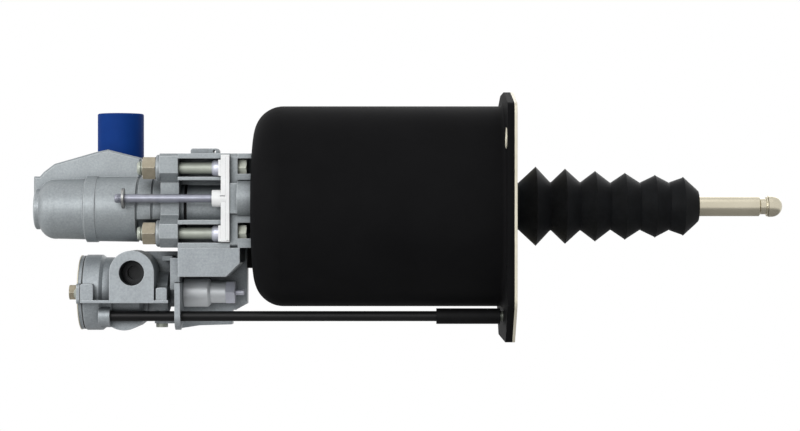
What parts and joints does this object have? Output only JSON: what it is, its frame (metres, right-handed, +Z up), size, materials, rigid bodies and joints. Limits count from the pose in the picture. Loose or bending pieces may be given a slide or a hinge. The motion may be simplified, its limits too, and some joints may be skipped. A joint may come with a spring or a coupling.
{
  "type": "clutch servo",
  "caption": "Air-assisted hydraulic clutch servo with a deep-drawn air cylinder, cast hydraulic cylinder and control valve, booted push rod and wear indicator rod.",
  "frame": {"origin": "on the push rod axis, at the outer face of the mounting plate", "axes": "+X along the push rod, out of the mounting plate; +Z up; the indicator rod is on the -Y side"},
  "size_m": [0.4538, 0.1452, 0.1481],
  "materials": {
    "shell_paint": "black gloss paint on deep-drawn steel",
    "plate_zinc": "cream zinc plating on steel",
    "boot_rubber": "moulded black rubber",
    "seal_rubber": "moulded black seal rubber",
    "rod_steel": "ground steel with nickel-zinc plating",
    "cast_alloy": "as-cast aluminium",
    "turned_alloy": "machined aluminium",
    "nut_zinc": "tan zinc plating",
    "bolt_zinc": "pale green zinc plating",
    "lilac_zinc": "blue-grey zinc plating",
    "bracket_plastic": "white moulded plastic",
    "cap_plastic": "blue moulded polyethylene",
    "guide_plastic": "dark filled plastic",
    "tube_plastic": "black nylon tube",
    "spring_steel": "phosphated spring wire",
    "bronze": "sintered bronze",
    "gasket": "cream fibre gasket"
  },
  "bodies": {
    "housing": {"cylinder_shell": "shell_paint", "flange_gasket": "seal_rubber", "mounting_plate": "plate_zinc", "rod_guide": "turned_alloy", "guide_bush": "bronze", "rod_wiper": "seal_rubber", "boot": "boot_rubber", "return_spring": "spring_steel", "spring_seat": "bolt_zinc", "hydraulic_cylinder": "cast_alloy", "gland_bush": "bronze", "gland_ring": "seal_rubber", "cage_casting": "cast_alloy", "air_seal": "seal_rubber", "cage_bolts": "bolt_zinc", "cage_nuts": "nut_zinc", "bolt_washers": "turned_alloy", "shell_screws": "bolt_zinc", "indicator_bracket": "bracket_plastic", "bracket_washers": "bracket_plastic", "indicator_seal": "seal_rubber", "valve_body": "cast_alloy", "valve_cover": "cast_alloy", "cover_gasket": "gasket", "cover_bolt": "nut_zinc", "cover_screws": "bolt_zinc", "valve_seat": "bronze", "relay_spring": "spring_steel", "poppet_spring": "spring_steel", "bleed_screw": "lilac_zinc", "exhaust_cover": "guide_plastic", "transfer_block": "cast_alloy", "transfer_plate": "cast_alloy", "plate_screws": "bolt_zinc", "block_screws": "bolt_zinc", "transfer_seal": "seal_rubber", "breather_tube": "tube_plastic", "tube_stub": "bolt_zinc", "tube_sleeve": "seal_rubber", "tube_clip": "cast_alloy", "clip_screw": "bolt_zinc"},
    "rod_group": {"push_rod": "rod_steel", "rod_ring": "spring_steel", "air_piston": "turned_alloy", "piston_seal": "seal_rubber", "piston_ring": "guide_plastic", "hydraulic_plunger": "rod_steel", "plunger_cup": "seal_rubber", "indicator_rod": "lilac_zinc", "indicator_clip": "lilac_zinc"},
    "relay_group": {"relay_piston": "turned_alloy", "relay_seal": "seal_rubber"},
    "poppet": {"inlet_poppet": "bronze"},
    "dust_cap": {"port_cap": "cap_plastic"}
  },
  "joints": [
    {"name": "rod_slide", "type": "slide", "parent": "housing", "child": "rod_group", "axis": [1, 0, 0], "range_m": [-0.05, 0], "stiffness_N_per_m": 300, "springref_m": 0.05, "deforming": ["boot", "return_spring"]},
    {"name": "relay_slide", "type": "slide", "parent": "housing", "child": "relay_group", "axis": [1, 0, 0], "range_m": [-0.003, 0], "stiffness_N_per_m": 800, "springref_m": 0.004, "deforming": ["relay_spring"]},
    {"name": "poppet_slide", "type": "slide", "parent": "housing", "child": "poppet", "axis": [1, 0, 0], "range_m": [-0.002, 0], "deforming": ["poppet_spring"]},
    {"name": "cap_pull", "type": "slide", "parent": "housing", "child": "dust_cap", "axis": [0, 0, 1], "range_m": [0, 0.02]}
  ],
  "couplings": [
    {"joint": "poppet_slide", "follows": "relay_slide", "ratio": 0.66667}
  ]
}
